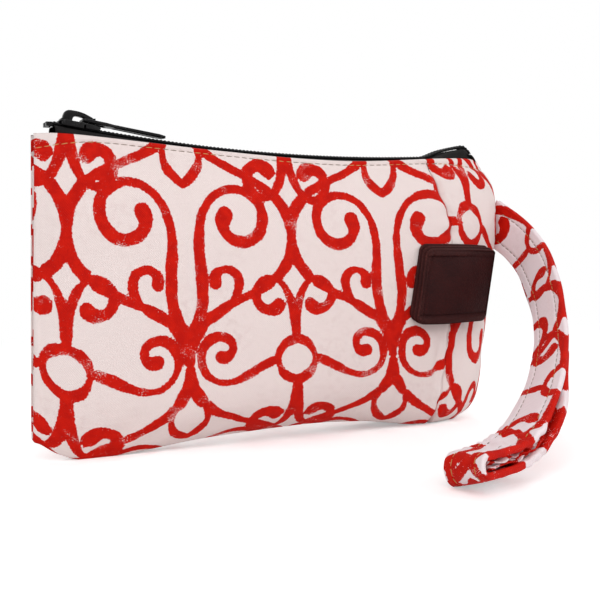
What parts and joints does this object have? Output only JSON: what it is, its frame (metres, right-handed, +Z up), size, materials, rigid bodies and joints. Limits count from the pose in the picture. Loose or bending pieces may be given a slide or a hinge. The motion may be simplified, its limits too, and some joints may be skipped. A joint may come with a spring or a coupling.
{
  "type": "wristlet pouch",
  "caption": "Stuffed cloth pouch with a coil zip along its top, a padded leather plate round one end and a flat folded wrist strap.",
  "frame": {"origin": "middle of the flat foot under the full end, on the surface that the pouch stands on", "axes": "+X along the pouch to the end that carries the strap, -Y out of the front panel, +Z up"},
  "size_m": [0.2063, 0.1431, 0.1247],
  "materials": {
    "printed_cloth": "white cotton canvas printed with a brushy red scroll pattern, matt",
    "fleece": "white needled fleece, matt",
    "lining": "plain off-white cotton, matt",
    "zip_tape": "black woven polyester tape, matt",
    "zip_coil": "black nylon coil, satin",
    "black_metal": "black enamelled zinc, satin with worn highlights",
    "leather": "oxblood leather, satin, softly turned edges",
    "pad": "grey felt padding, matt"
  },
  "bodies": {
    "pouch": {"front_panel": "printed_cloth", "back_panel": "printed_cloth", "end_gusset": "printed_cloth", "base_panel": "printed_cloth", "left_gusset": "printed_cloth", "fleece_front": "fleece", "fleece_back": "fleece", "lining_front": "lining", "lining_back": "lining", "zip_tape_front": "zip_tape", "zip_tape_back": "zip_tape", "zip_coil_front": "zip_coil", "zip_coil_back": "zip_coil", "zip_stop_front": "black_metal", "zip_stop_back": "black_metal", "plate_backing": "leather", "plate_pad": "pad", "plate_cover": "leather"},
    "slider": {"slider_body": "black_metal"},
    "pull": {"pull_tab": "black_metal"},
    "strap": {"wrist_strap": "printed_cloth"}
  },
  "joints": [
    {"name": "zip_run", "type": "hinge", "parent": "pouch", "child": "slider", "pos_m": [-0.039, 0, 0.83943], "axis": [0, -1, 0], "range_deg": [0, 8.7]},
    {"name": "pull_flip", "type": "hinge", "parent": "slider", "child": "pull", "pos_m": [-0.14649, 0, 0.12105], "axis": [0, -1, 0], "range_deg": [0, 160]},
    {"name": "strap_swing", "type": "hinge", "parent": "pouch", "child": "strap", "pos_m": [0.0357, 0, 0.082], "axis": [0, 0, 1], "range_deg": [-10, 90]}
  ]
}
